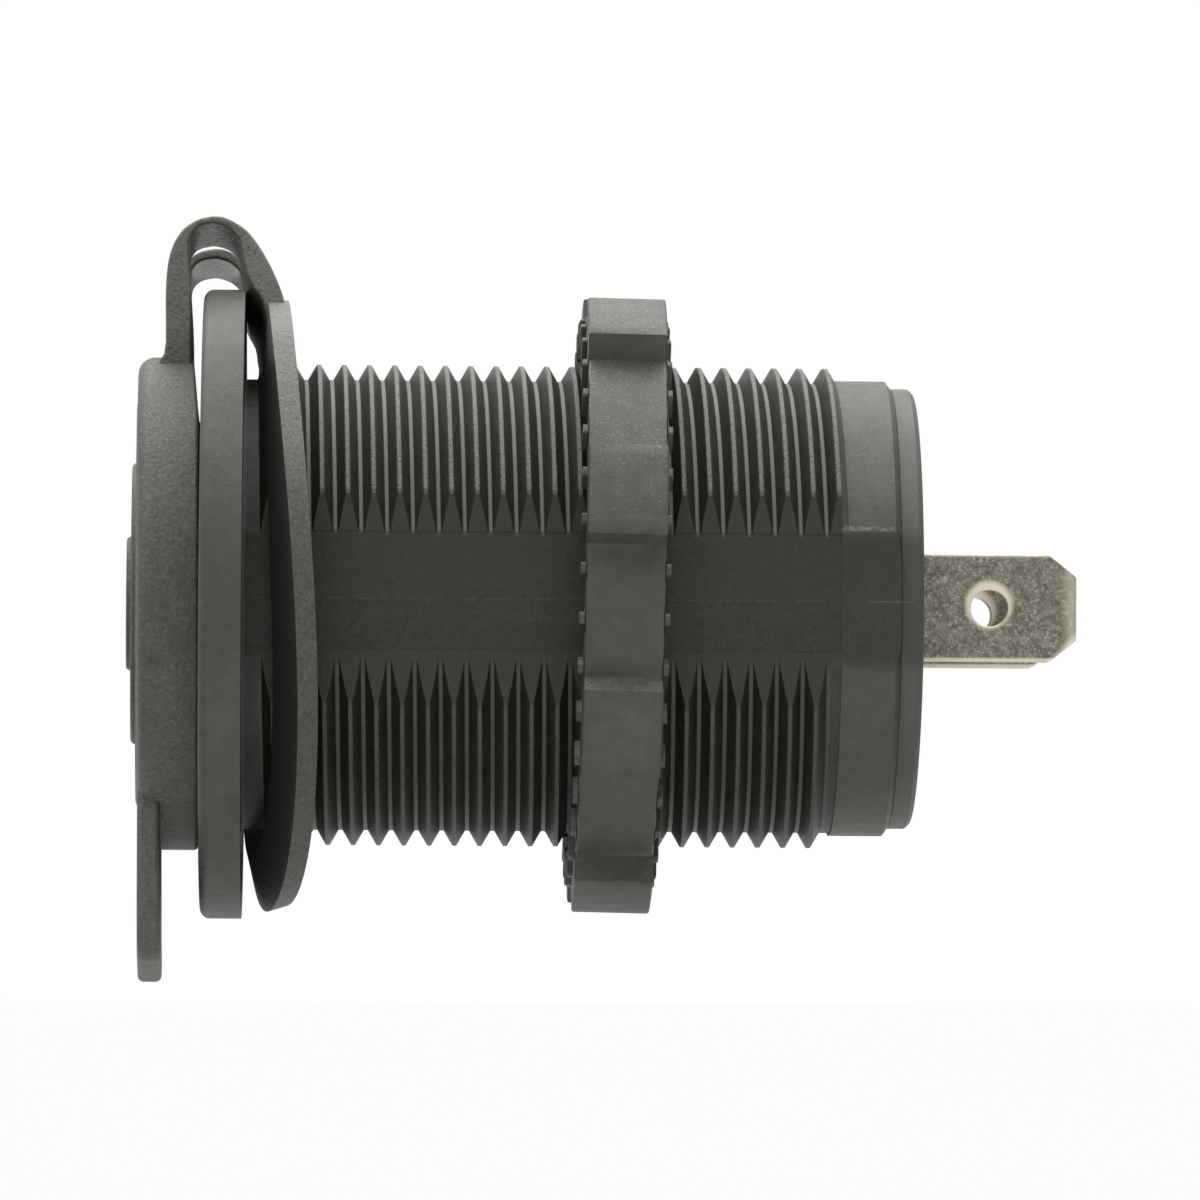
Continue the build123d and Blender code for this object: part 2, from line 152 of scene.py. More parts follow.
class RubberSizes(bpy.types.PropertyGroup):
    cap_radius: length("Cap radius", "Radius of the dust cap's disc", 14.6)
    cap_edge: length("Cap edge round", "Rounding of the dust cap's front rim", 1.0)
    cap_thickness: length("Cap thickness", "From the disc's face to its back", 3.55)
    ring_inner: length("Ring inner radius", "Inner radius of the sealing ring", 14.65)
    ring_outer: length("Ring outer radius", "Outer radius of the sealing ring", 18.05)
    ring_thickness: length("Ring thickness", "Thickness of the sealing ring", 1.3)
    strap_width: length("Strap width", "Width of the strap over both bands", 13.0)
    strap_band: length("Strap band", "Width of one band of the strap", 5.2)
    tongue_width: length("Tongue width", "Width of the pull tongue", 13.0)
    tongue_thickness: length("Tongue thickness", "Thickness of the pull tongue at its root", 1.32)
    tongue_end: length("Tongue end", "From the axis to the pull tongue's end", 22.1)


class Colours(bpy.types.PropertyGroup):
    plastic: colour("Plastic", "Moulded flange, collar and rear cover", (0.056, 0.0575, 0.048))
    barrel: colour("Barrel", "Smoother plastic of the threaded barrel", (0.0122, 0.0128, 0.0085))
    nut: colour("Nut plastic", "Moulded ring nut", (0.058, 0.0592, 0.050))
    rubber: colour("Rubber", "Cap, strap and sealing ring", (0.077, 0.0785, 0.068))
    nickel: colour("Blades", "Dull plate of the blades", (0.184, 0.171, 0.140))
    sleeve: colour("Sleeve", "Plated contact sleeve", (0.52, 0.51, 0.48))
    brass: colour("Brass", "Rivets and centre contact", (0.72, 0.54, 0.26))
    board: colour("Insulation", "Brown insulating bush", (0.30, 0.19, 0.10))


class StageSettings(bpy.types.PropertyGroup):
    camera_distance: length("Camera distance", "From the socket's axis to the camera", 520.0)
    frame_width: length("Frame width", "Width that the picture takes in at the axis", 71.3)
    floor_drop: length("Floor drop", "From the axis down to the floor", 46.0)


# Shader sums


class Value:
    """An output socket, so that sums on what varies over a surface read as Python."""

    def __init__(self, finish, socket):
        self.finish = finish
        self.socket = socket

    def __add__(self, other):
        return self.finish.maths("ADD", self, other)

    def __radd__(self, other):
        return self.finish.maths("ADD", other, self)

    def __sub__(self, other):
        return self.finish.maths("SUBTRACT", self, other)

    def __rsub__(self, other):
        return self.finish.maths("SUBTRACT", other, self)

    def __mul__(self, other):
        return self.finish.maths("MULTIPLY", self, other)

    def __pow__(self, power):
        return self.finish.maths("POWER", self, power)

    def __abs__(self):
        return self.finish.maths("ABSOLUTE", self)

    def step(self, low, high):
        """0 below low, 1 above high, and smooth between them. High may be the lower one."""
        return self.finish.node(
            "ShaderNodeMapRange",
            {"Value": self, "From Min": low, "From Max": high},
            interpolation_type="SMOOTHSTEP",
        )

    def past(self, low, high):
        """A step for a length, with low and high in millimetres."""
        return self.step(low * MM, high * MM)


class Finish:
    """The shader nodes of a material or world being made, and the one way that nodes get there."""

    def __init__(self, owner):
        owner.use_nodes = True
        self.owner = owner
        self.tree = owner.node_tree
        self.tree.nodes.clear()

    def node(self, kind, sockets=None, output=0, **settings):
        """One of a new node's outputs, with its settings and its sockets' values or links given."""
        made = self.tree.nodes.new(kind)
        for key, setting in settings.items():
            setattr(made, key, setting)
        for key, given in (sockets or {}).items():
            if isinstance(given, Value):
                self.tree.links.new(given.socket, made.inputs[key])
            else:
                made.inputs[key].default_value = given
        return Value(self, made.outputs[output]) if made.outputs else None

    def maths(self, operation, first, second=0.0):
        """The outcome of a sum on one or two values."""
        return self.node("ShaderNodeMath", {0: first, 1: second}, operation=operation)

    def split(self, vector):
        """A vector's x, y and z."""
        parts = self.node("ShaderNodeSeparateXYZ", {0: vector}).socket.node.outputs
        return [Value(self, part) for part in parts]

    def place(self):
        """Where the surface is, in metres in the socket's frame."""
        return self.node("ShaderNodeTexCoord", output="Object")

    def facing(self):
        """How far the surface faces along x, y and z of the socket's frame, from -1 to 1."""
        return self.split(self.node("ShaderNodeTexCoord", output="Normal"))

    def noise(self, size, detail=3.0, roughness=0.5, stretch=(1, 1, 1)):
        """Noise from 0 to 1 with lumps about size across, in millimetres. They are longer along an
        axis whose stretch is below 1."""
        place = self.node(
            "ShaderNodeVectorMath", {0: self.place(), 1: stretch}, operation="MULTIPLY"
        )
        return self.node(
            "ShaderNodeTexNoise",
            {"Vector": place, "Scale": 1 / (size * MM), "Detail": detail, "Roughness": roughness},
        )

    def mix(self, amount, first, second):
        """Colour first where amount is 0 and second where it is 1."""
        first, second = (
            shade if isinstance(shade, Value) else (*shade, 1.0) for shade in (first, second)
        )
        return self.node(
            "ShaderNodeMix", {0: amount, 6: first, 7: second}, output=2, data_type="RGBA"
        )

    def bump(self, height, depth, under=None):
        """A normal raised by height, a value from 0 to 1, over a depth in millimetres."""
        sockets = {"Height": height, "Distance": depth * MM, "Strength": 1.0}
        if under:
            sockets["Normal"] = under
        return self.node("ShaderNodeBump", sockets)

    def surface(self, colour, roughness, normal, metallic=0.0, **fixed):
        """Closes the material with one Principled shader. Fixed holds its constant sockets."""
        sockets = {"Base Color": colour, "Roughness": roughness, "Metallic": metallic}
        sockets["Normal"] = normal
        for key, amount in fixed.items():
            sockets[key.replace("_", " ")] = amount
        shader = self.node("ShaderNodeBsdfPrincipled", sockets)
        self.node("ShaderNodeOutputMaterial", {"Surface": shader})
        return self.owner


def new_finish(name):
    """A finish for a new material."""
    return Finish(bpy.data.materials.new(name))


def scaled(shade, factor):
    """A colour made lighter or darker by a factor."""
    return tuple(min(1.0, part * factor) for part in shade)


def dress(obj, material):
    """Puts a material on every slot of an object."""
    obj.data.materials.clear()
    obj.data.materials.append(material)


# Finishes


def grained(finish, shade, speck):
    """Colour, roughness and normal of glass-filled black plastic: fine grain over soft flow marks,
    and specks painted as glints, as strong as speck, on what faces up."""
    grain = finish.noise(0.16, detail=2.0, roughness=0.6)
    mottle = finish.noise(1.1, detail=4.0, roughness=0.65)
    flow = finish.noise(5.0, detail=2.0, stretch=(0.35, 1, 1))
    _, _, up = finish.facing()
    # Specks painted as glints, only where the surface faces up
    painted_glints = finish.noise(0.13, detail=1.0).step(0.6, 0.72) * up.step(-0.1, 0.9) * speck
    base = finish.mix(mottle.step(0.3, 0.7), scaled(shade, 0.84), scaled(shade, 1.16))
    base = finish.mix(flow.step(0.35, 0.75) * 0.2, base, scaled(shade, 1.3))
    base = finish.mix(painted_glints, base, scaled(shade, 5.5))
    roughness = 0.46 + grain * 0.14 - mottle * 0.06
    normal = finish.bump(flow, 0.03, finish.bump(grain, 0.026))
    return base, roughness, normal


def worn_barrel(finish, barrel, wear, speck):
    """The barrel's colour: blotched with wear, dragged along the axis and specked."""
    drag = finish.noise(1.6, detail=4.0, roughness=0.7, stretch=(0.12, 1, 1))
    dark = finish.mix(wear.step(0.3, 0.7), scaled(barrel, 0.6), scaled(barrel, 1.6))
    dark = finish.mix(drag.step(0.5, 0.68) * 0.5, dark, scaled(barrel, 2.3))
    return finish.mix(speck.step(0.54, 0.7) * 0.4, dark, scaled(barrel, 3.6))


def thread_highlights(finish, x, y, z, speck):
    """Where the thread has painted highlights: on its crests and along its roots, stronger towards
    the top where the light falls, and left out next to the flange, which shades it."""
    radius = (y * y + z * z) ** 0.5
    crest = radius.past(CREST_RADIUS - 0.15, CREST_RADIUS - 0.03) * speck.step(0.25, 0.6)
    along = (x - FIRST_CREST * MM) * (1 / (THREAD_PITCH * MM))
    turn = along - finish.maths("ARCTAN2", z, y) * (0.5 / pi) + 0.25
    off_root = abs(finish.maths("FRACT", turn) - 0.5)
    root = radius.past(ROOT_RADIUS + 0.35, ROOT_RADIUS + 0.15) * off_root.step(0.08, 0.04)
    # Painted light: the highlights are stronger towards the top
    lit_from_above = 0.3 + z.past(-3, 4) * 0.7
    return (crest + root * 0.9) * lit_from_above * x.past(1.0, 1.3)


def housing_plastic(shade, barrel):
    """The housing's plastic: grained flange and collar, and a darker, smoother threaded barrel."""
    finish = new_finish("housing_plastic")
    x, y, z = finish.split(finish.place())
    side = abs(y)
    wear = finish.noise(0.35, detail=3.0, roughness=0.6)
    speck = finish.noise(0.12, detail=1.0)
    behind_flange = x.past(0.05, 0.3)
    at_rear = x.past(THREAD_END - 0.1, THREAD_END + 0.05)
    threaded = behind_flange * x.past(THREAD_END + 0.05, THREAD_END - 0.1)
    turned_part = side.past(FLAT_DISTANCE - 0.1, FLAT_DISTANCE - 0.16)

    base, roughness, normal = grained(finish, shade, 0.22)
    dark = worn_barrel(finish, barrel, wear, speck)
    base = finish.mix(threaded, base, dark)
    # Pale crests and roots of the thread are painted highlights
    thread_highlight = thread_highlights(finish, x, y, z, speck) * turned_part * threaded
    base = finish.mix(thread_highlight, base, scaled(shade, 2.0))

    # The flats, with a dark stretch on the collar and the cover in line with them
    near_side = side.past(11.6, 12.4)
    rear_flat = z.past(4.5, 3.3) * z.past(-4.4, -3.2) * near_side
    flat = (1 - turned_part) * behind_flange * (1 - at_rear) + rear_flat * at_rear
    base = finish.mix(flat * 0.85, base, dark)

    # The mould's parting line, painted as the pale highlight that its edge catches, broken on the flats and
    # clear on the collar
    broken = wear.step(0.4, 0.55) * 0.4 * (1 - at_rear) + x.past(36.2, 36.6) * x.past(39.2, 38.9)
    line = abs(z - PARTING_LINE * MM).past(0.07, 0.03) * broken
    base = finish.mix(flat * line * 0.6, base, scaled(shade, 1.8))

    # A ragged seam where the collar's upper half meets its flat
    ragged = finish.noise(0.8, detail=4.0, roughness=0.7) * (0.9 * MM) - 0.45 * MM
    seam = abs(z - SEAM_HEIGHT * MM + ragged).past(0.16, 0.05) * at_rear
    seam = seam * x.past(38.0, 37.6) * near_side
    base = finish.mix(seam * wear.step(0.3, 0.6) * 0.8, base, scaled(shade, 3.0))
    # The flats' upper half is painted lighter, as light falls on a face tilted up
    base = finish.mix(flat * z.past(-0.1, 0.1) * 0.3, base, scaled(barrel, 1.6))

    # The rear cover is a separate moulding, a little greyer
    cover = x.past(COLLAR_END - 0.01, COLLAR_END + 0.03)
    base = finish.mix(cover * 0.3, base, scaled(shade, 2.0))

    # The flats are paler beside their sunken middle band
    low, high = FLAT_BAND
    beside = abs(z - (low + high) / 2 * MM).past((high - low) / 2 - 0.05, (high - low) / 2 + 0.05)
    base = finish.mix(flat * beside * threaded * 0.45, base, scaled(barrel, 1.9))
    return finish.surface(base, roughness, normal, Specular_IOR_Level=0.4)


def nut_plastic(shade):
    """The ring nut's plastic."""
    finish = new_finish("nut_plastic")
    return finish.surface(*grained(finish, shade, 0.5), Specular_IOR_Level=0.45)


def black_rubber(shade):
    """Soft black rubber: pebbled and dull, with painted light on the strap, the ring's top and the cap's
    bottom, and pale specks that are dust in patches and painted glints higher up.
    """
    finish = new_finish("black_rubber")
    pebble = finish.noise(0.24, detail=2.0, roughness=0.55)
    cloud = finish.noise(1.6, detail=5.0, roughness=0.65)
    grime = finish.noise(4.5, detail=3.0, roughness=0.6)
    dust = finish.noise(0.11, detail=1.0).step(0.6, 0.74)
    patches = finish.noise(3.0, detail=2.0).step(0.5, 0.7)
    x, _, z = finish.split(finish.place())
    rearward, _, up = finish.facing()

    # Painted light: the strap and the ring's upper part painted lighter as sheen, and the cap's bottom as
    # light from below
    behind_flange = x.past(-0.8, 0.6)
    painted_light = z.past(14.6, 16.5) * 0.5 + behind_flange * z.past(4, 10) * 0.5
    painted_light = painted_light + z.past(-7, -13) * x.past(-1, -2.5) * 0.28
    # Pale specks: dust in random patches, and painted glints on the upper part and on the ring's top
    dust_and_glints = z.past(3, 10) * 0.8 + patches * 0.35 + x.past(0.3, 0.8) * z.past(7, 12) * 0.7
    base = finish.mix(cloud.step(0.3, 0.7), scaled(shade, 0.9), scaled(shade, 1.1))
    base = finish.mix(grime.step(0.5, 0.7) * 0.3, base, scaled(shade, 0.7))
    base = finish.mix(painted_light, base, scaled(shade, 2.0))
    base = finish.mix(pebble.step(0.54, 0.68) * 0.4, base, scaled(shade, 2.0))
    base = finish.mix(pebble.step(0.46, 0.32) * 0.5, base, scaled(shade, 0.4))
    base = finish.mix(dust * dust_and_glints * 0.5, base, scaled(shade, 4.0))

    # The ring's face towards the flange is painted dark, as shade in the gap between them; the strap's
    # inner face came off a polished mould
    painted_gap_shade = rearward.step(-0.3, -0.8) * x.past(0.05, 0.3) * z.past(15, 13)
    inner = up.step(0.1, -0.4) * z.past(19.6, 20.2)
    base = finish.mix(painted_gap_shade, base, scaled(shade, 0.35))
    roughness = 0.58 + cloud * 0.1 - pebble * 0.16 - inner * 0.26
    return finish.surface(base, roughness, finish.bump(pebble, 0.055), Specular_IOR_Level=0.4)


def painted_edge_highlights(finish, base, shade):
    """Paints highlights on a blade round its hole and along its edges, most at its lower corner."""
    x, _, z = finish.split(finish.place())
    x = x - (cad_high[0] - HOLE_FROM_TIP * MM)
    z = z + BLADE_DROP * MM
    above_hole = z - HOLE_RISE * MM
    ring = ((x * x + above_hole * above_hole) ** 0.5).past(1.62, 1.15)
    edge = z.past(BLADE_HALF - 0.25, BLADE_HALF - 0.05) * 0.5
    edge = edge + z.past(0.3 - BLADE_HALF, 0.15 - BLADE_HALF)
    edge = edge + x.past(HOLE_FROM_TIP - 1.06, HOLE_FROM_TIP - 0.26) * 0.6
    edge = edge + (x + z).past(6.9, 7.1) * 0.5 + (x - z).past(6.3, 7.0)
    # Painted highlights round the hole and along the lit edges
    base = finish.mix(ring * 0.85, base, scaled(shade, 3.6))
    return finish.mix(edge * 0.75, base, scaled(shade, 3.4))


def nickel_plate(name, shade, blade=False):
    """Dull nickel plate, finely mottled. A blade is handled more, and has painted highlights round its hole
    and along its edges.
    """
    finish = new_finish(name)
    stain = finish.noise(0.7, detail=5.0, roughness=0.75)
    fleck = finish.noise(0.17, detail=3.0, roughness=0.75)
    grain = finish.noise(0.14, detail=2.0, stretch=(0.3, 1, 1))
    handled = 1.0 if blade else 0.3
    base = finish.mix(stain.step(0.35, 0.65), scaled(shade, 1.2), scaled(shade, 0.7))
    base = finish.mix(fleck.step(0.54, 0.68) * (0.7 * handled), base, scaled(shade, 2.6))
    base = finish.mix(fleck.step(0.46, 0.32) * (0.75 * handled), base, scaled(shade, 0.35))
    if blade:
        base = painted_edge_highlights(finish, base, shade)
    roughness = 0.34 + stain * 0.2 + grain * 0.12
    return finish.surface(base, roughness, finish.bump(grain, 0.008), metallic=1.0)


def plain_brass(shade):
    """Brass with a light tarnish."""
    finish = new_finish("plain_brass")
    tarnish = finish.noise(0.9, detail=4.0, roughness=0.6)
    base = finish.mix(tarnish.step(0.4, 0.75), shade, scaled(shade, 0.6))
    normal = finish.bump(finish.noise(0.15), 0.005)
    return finish.surface(base, 0.3 + tarnish * 0.2, normal, metallic=1.0)


def fibre_board(shade):
    """Brown vulcanised fibre with a faint grain."""
    finish = new_finish("fibre_board")
    fibre = finish.noise(0.5, detail=4.0, stretch=(1, 0.3, 1))
    base = finish.mix(fibre.step(0.3, 0.7), scaled(shade, 0.8), scaled(shade, 1.2))
    return finish.surface(base, 0.6 + fibre * 0.15, finish.bump(fibre, 0.02))


# Shapes


def to_world(x, across, up):
    """A point in metres from strap coordinates in millimetres: along X, across the strap and up it."""
    return (Vector((x, 0, 0)) + ACROSS * across + UP_STRAP * up) * MM


def share(amount):
    """An amount held between 0 and 1."""
    return max(0.0, min(1.0, amount))


def piece(name, build, material, body=None):
    """A new mesh object. Build fills a bmesh in metres in the socket's frame."""
    mesh = bpy.data.meshes.new(name)
    shape = bmesh.new()
    build(shape)
    bmesh.ops.recalc_face_normals(shape, faces=shape.faces)
    shape.to_mesh(mesh)
    shape.free()
    obj = bpy.data.objects.new(name, mesh)
    bpy.context.scene.collection.objects.link(obj)
    dress(obj, material)
    if body:
        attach(obj, body)
    return obj


def rounding(obj, width):
    """Rounds an object's edges and shades it smoothly. A solid's faces are joined up first."""
    weld = obj.modifiers.new("Joined", "WELD")
    weld.merge_threshold = 1e-6
    bevel = obj.modifiers.new("Edges", "BEVEL")
    bevel.width = width * MM
    bevel.segments = 3
    bevel.limit_method = "ANGLE"
    bevel.angle_limit = radians(35)
    bevel.harden_normals = True
    obj.data.shade_smooth()


def even_corners(obj):
    """Shades an object smoothly, with its broad faces kept flat up to their rounded corners."""
    obj.data.shade_smooth()
    smooth = obj.modifiers.new("Corners", "WEIGHTED_NORMAL")
    smooth.keep_sharp = True


def arc(centre, radius, start, end, steps):
    """Points on an arc, in degrees."""
    angles = [radians(start + (end - start) * step / steps) for step in range(steps + 1)]
    return [(centre[0] + radius * cos(a), centre[1] + radius * sin(a)) for a in angles]


def turned(profile, segments):
    """A builder of a solid turned about the X axis from (x, radius) points in millimetres."""

    def build(shape):
        turns = [2 * pi * n / segments for n in range(segments)]
        rings = []
        for x, radius in profile:
            points = [(x, radius * cos(a), radius * sin(a)) for a in turns] if radius else [(x, 0, 0)]
            rings.append([shape.verts.new(Vector(point) * MM) for point in points])
        for one, two in zip(rings, rings[1:]):
            for n in range(segments):
                after = (n + 1) % segments
                corners = [one[n % len(one)], one[after % len(one)]]
                corners += [two[after % len(two)], two[n % len(two)]]
                corners = list(dict.fromkeys(corners))
                if len(corners) > 2:
                    shape.faces.new(corners)

    return build


def slack(build, radius):
    """Lets a turned cap bow as the soft one does: its near edge lies closer to the flange, and
    the top of its back is drawn away from the flange by the strap."""
    rim_width = 2.0
    back_depth = 1.2
    drawn_from = 9.0
    drawn_by = 0.33

    def bowed(shape):
        build(shape)
        for corner in shape.verts:
            x, y, z = corner.co / MM
            up = corner.co.dot(UP_STRAP) / MM
            rim = share(((y * y + z * z) ** 0.5 - PLUG_ROOT) / rim_width)
            front = x < CAP_BACK - back_depth
            drawn = 0.0 if front else share((up - drawn_from) / (radius - drawn_from))
            near = NEAR_BOW * max(0.0, -y) * (1.0 if front else rim)
            corner.co.x += (near - drawn_by * drawn * rim - RUBBER_LEAN * z * rim) * MM

    return bowed


def smooth_line(points):
    """A smooth line of points through the given ones."""
    steps = 16
    padded = [points[0], *points, points[-1]]
    line = []
    for before, start, end, after in zip(padded, padded[1:], padded[2:], padded[3:]):
        p0, p1, p2, p3 = map(Vector, (before, start, end, after))
        for step in range(steps):
            t = step / steps
            line.append(
                (
                    2 * p1
                    + (p2 - p0) * t
                    + (2 * p0 - 5 * p1 + 4 * p2 - p3) * t * t
                    + (3 * p1 - p0 - 3 * p2 + p3) * t * t * t
                )
                / 2
            )
    line.append(Vector(points[-1]))
    return line


def spread(line, count):
    """Count + 1 points evenly spaced along a line of points."""
    walked = [0.0]
    for one, two in zip(line, line[1:]):
        walked.append(walked[-1] + (two - one).length)
    spaced = []
    span = 0
    for n in range(count + 1):
        goal = walked[-1] * n / count
        while span < len(line) - 2 and walked[span + 1] < goal:
            span += 1
        part = (goal - walked[span]) / max(walked[span + 1] - walked[span], 1e-9)
        spaced.append(line[span].lerp(line[span + 1], part))
    return spaced


def cut_at(line, height):
    """The line's points up to where it first crosses a height, and the rest."""
    for n, (one, two) in enumerate(zip(line, line[1:])):
        if (one.y - height) * (two.y - height) <= 0 and one.y != two.y:
            crossing = one.lerp(two, (height - one.y) / (two.y - one.y))
            return line[: n + 1] + [crossing], [crossing] + line[n + 1 :]
    raise ValueError("the strap's line doesn't cross its window")


def ring_middle(y, z):
    """Where the bowed and twisted sealing ring's middle lies along X, in millimetres."""
    at_axis = 1.97
    nearest = 0.67
    slope = -0.0811
    curve = 0.00065
    twist = 0.003 if y < 0 else 0.0017
    return max(nearest, at_axis + slope * y + curve * y * y + twist * y * z)


def strap_sections():
    """Outer and inner points of the strap from the cap's disc over the crown to the ring, and
    for each stretch between two sections whether the window runs through it."""
    crown = tuple(APEX)
    underside = (APEX.x, APEX.y - CROWN)
    front_out = [(-5.3, 12.4), (-5.1, 13.0), (-4.8, 13.4), (-4.6, 14.1), (-4.58, 15.2)]
    front_out += [(-4.60, 17.1), (-4.56, 18.34), (-4.45, 19.34)]
    front_out += [(-4.27, 20.06), (-4.04, 20.62), (-3.67, 21.2), (-3.22, 21.6), (-2.6, 21.95), crown]
    front_in = [(-3.02, 12.4), (-3.08, 16.6), (-3.12, 18.2), (-3.22, 19.2), (-3.24, 20.4)]
    front_in += [(-3.0, 21.13), (-2.5, 21.55), underside]
    rear_out = [crown, (-1.1, 22.03), (-0.03, 21.43), (0.72, 20.58), (1.45, 19.38), (1.95, 18.31)]
    rear_out += [(2.3, 17.37), (2.46, 16.6), (2.42, 15.5)]
    rear_in = [underside, (-1.33, 21.6), (-0.78, 21.3), (-0.33, 20.72), (-0.15, 20.08), (-0.02, 19.35)]
    rear_in += [(0.16, 18.65), (0.46, 17.95), (1.12, 16.94), (1.45, 15.5)]
    sections = []
    windows = []
    for outer, inner, rear in ((front_out, front_in, False), (rear_out, rear_in, True)):
        halves = [cut_at(smooth_line(line), WINDOW) for line in (outer, inner)]
        for part in (0, 1):
            arched = part == (0 if rear else 1)
            count = 18 if arched else 9
            pairs = list(zip(spread(halves[0][part], count), spread(halves[1][part], count)))
            sections += pairs if not sections else pairs[1:]
            windows += [arched] * count
    return sections, windows


def strap_shape(width, band):
    """A builder of the strap: two bands over the crown, joined at both feet. Its rear foot follows
    the bowed ring across its width, and its crown sags a little away from the near edge."""
    follow_below = 20.0
    follow_over = 3.6
    sag_above = 20.6
    most_sag = 0.2
    rear_from = -0.5

    def build(shape):
        sections, windows = strap_sections()
        lanes = (-width / 2, band - width / 2, width / 2 - band, width / 2)
        grid = []
        for outer, inner in sections:
            rows = []
            for point in (outer, inner):
                row = []
                near = to_world(0, lanes[0], point.y) / MM
                for lane in lanes:
                    here = to_world(0, lane, point.y) / MM
                    rear = point.x > rear_from
                    follow = share((follow_below - point.y) / follow_over) if rear else 0.0
                    drift = (ring_middle(here.y, here.z) - ring_middle(near.y, near.z)) * follow
                    inside = point is inner and lane > lanes[0]
                    sag = most_sag * share(point.y - sag_above) if inside else 0.0
                    leant = point.x + drift - RUBBER_LEAN * here.z
                    row.append(shape.verts.new(to_world(leant, lane, point.y - sag)))
                rows.append(row)
            grid.append(rows)
        for n, ((out_a, in_a), (out_b, in_b)) in enumerate(zip(grid, grid[1:])):
            for lane in range(3):
                if lane == 1 and windows[n]:
                    continue
                shape.faces.new((out_a[lane], out_a[lane + 1], out_b[lane + 1], out_b[lane]))
                shape.faces.new((in_a[lane], in_b[lane], in_b[lane + 1], in_a[lane + 1]))
            for lane in (0, 3) if not windows[n] else (0, 1, 2, 3):
                shape.faces.new((out_a[lane], out_b[lane], in_b[lane], in_a[lane]))
            if n and windows[n] != windows[n - 1]:
                shape.faces.new((out_a[1], out_a[2], in_a[2], in_a[1]))
        for outs, ins in (grid[0], grid[-1]):
            for lane in range(3):
                shape.faces.new((outs[lane], outs[lane + 1], ins[lane + 1], ins[lane]))

    return build


def ring_shape(inner, outer, thickness):
    """A builder of the sealing ring: a flat ring, bowed, and dished at its near side and below."""
    corner = 0.06
    turns = 160
    most_slant = radians(18)
    flange_gap = 0.03

    def build(shape):
        half = thickness / 2
        outline = arc((outer - corner, half - corner), corner, 0, 90, 3)
        outline += arc((inner + corner, half - corner), corner, 90, 180, 3)
        outline += arc((inner + corner, corner - half), corner, 180, 270, 3)
        outline += arc((outer - corner, corner - half), corner, 270, 360, 3)
        loops = []
        for n in range(turns):
            angle = 2 * pi * n / turns
            slant = most_slant * share(0.5 - 0.5 * cos(angle) - 0.45 * sin(angle))
            loop = []
            for radius, depth in outline:
                out = outer + (radius - outer) * cos(slant) - depth * sin(slant)
                y, z = out * cos(angle), out * sin(angle)
                x = ring_middle(y, z) + depth * cos(slant) + (radius - outer) * sin(slant)
                x = max(flange_gap, x - RUBBER_LEAN * z)
                loop.append(shape.verts.new(Vector((x, y, z)) * MM))
            loops.append(loop)
        for one, two in zip(loops, loops[1:] + loops[:1]):
            for n in range(len(outline)):
                after = (n + 1) % len(outline)
                shape.faces.new((one[n], one[after], two[after], two[n]))

    return build


def tongue_shape(width, thickness, end, front):
    """A builder of the pull tongue, a slab with two rounded corners that leans back a little below
    the cap, its back more than its front."""
    corner = 3.0
    root = 9.6
    lean_below = 15.0
    front_lean = 0.005
    back_lean = 0.02

    def build(shape):
        outline = [(-width / 2, -root)]
        outline += arc((corner - width / 2, corner - end), corner, 180, 270, 10)
        outline += arc((width / 2 - corner, corner - end), corner, 270, 360, 10)
        outline += [(width / 2, -root)]
        faces = []
        for depth, tilt in ((0.0, front_lean), (thickness, back_lean)):
            corners = []
            for across, up in outline:
                here = to_world(0, across, up) / MM
                lean = max(0.0, -up - lean_below) * tilt
                lean += NEAR_BOW * max(0.0, -here.y) - RUBBER_LEAN * here.z * 0.5
                corners.append(shape.verts.new(to_world(front + depth + lean, across, up)))
            faces.append(corners)
        shape.faces.new(faces[0])
        shape.faces.new(reversed(faces[1]))
        for n in range(len(outline)):
            after = (n + 1) % len(outline)
            shape.faces.new((faces[0][n], faces[1][n], faces[1][after], faces[0][after]))

    return build


def cap_profile(radius, edge, front):
    """The dust cap's half outline, from the floor of its hollow plug over the disc to the button.
    Front is where the disc's face is along X."""
    hollow_depth = 2.05
    hollow_radius = 9.2
    plug_end = 1.8
    plug_radius = 10.4
    plug_round = 0.3
    corner = 0.2
    disc_radius, disc_face = 11.8, front - 0.1
    boss_radius, boss_face, boss_round = 8.35, front - 0.4, 0.3
    button_radius, button_face = 3.95, front - 0.7
    floor = front + hollow_depth
    profile = [(floor, 0), (floor, hollow_radius - corner)]
    profile += arc((floor + corner, hollow_radius - corner), corner, 180, 90, 3)
    profile += [(plug_end - 0.2, 8.92), (plug_end - 0.02, 9.05), (plug_end, hollow_radius)]
    profile += arc((plug_end - plug_round, plug_radius - plug_round), plug_round, 0, 90, 4)
    profile += [(CAP_BACK + 0.1, PLUG_ROOT - 0.1)]
    profile += [(CAP_BACK, PLUG_ROOT + 0.9 * step) for step in range(4)]
    profile += arc((CAP_BACK - corner, radius - corner), corner, 0, 90, 3)
    profile += arc((front + edge, radius - edge), edge, 90, 180, 6)
    profile += [(front, disc_radius + 0.3), (front - 0.04, disc_radius + 0.15)]
    profile += [(disc_face, disc_radius), (disc_face, boss_radius + 0.2)]
    profile += arc((boss_face + boss_round, boss_radius - boss_round), boss_round, 90, 180, 5)
    profile += [(boss_face, button_radius + 0.1)]
    profile += arc((button_face + corner, button_radius - corner), corner, 90, 180, 4)
    return profile + [(button_face, 0)]


# Operators


def rubber():
    """The rubber's material, made once."""
    shade = tuple(bpy.context.scene.socket_colours.rubber)
    return bpy.data.materials.get("black_rubber") or black_rubber(shade)


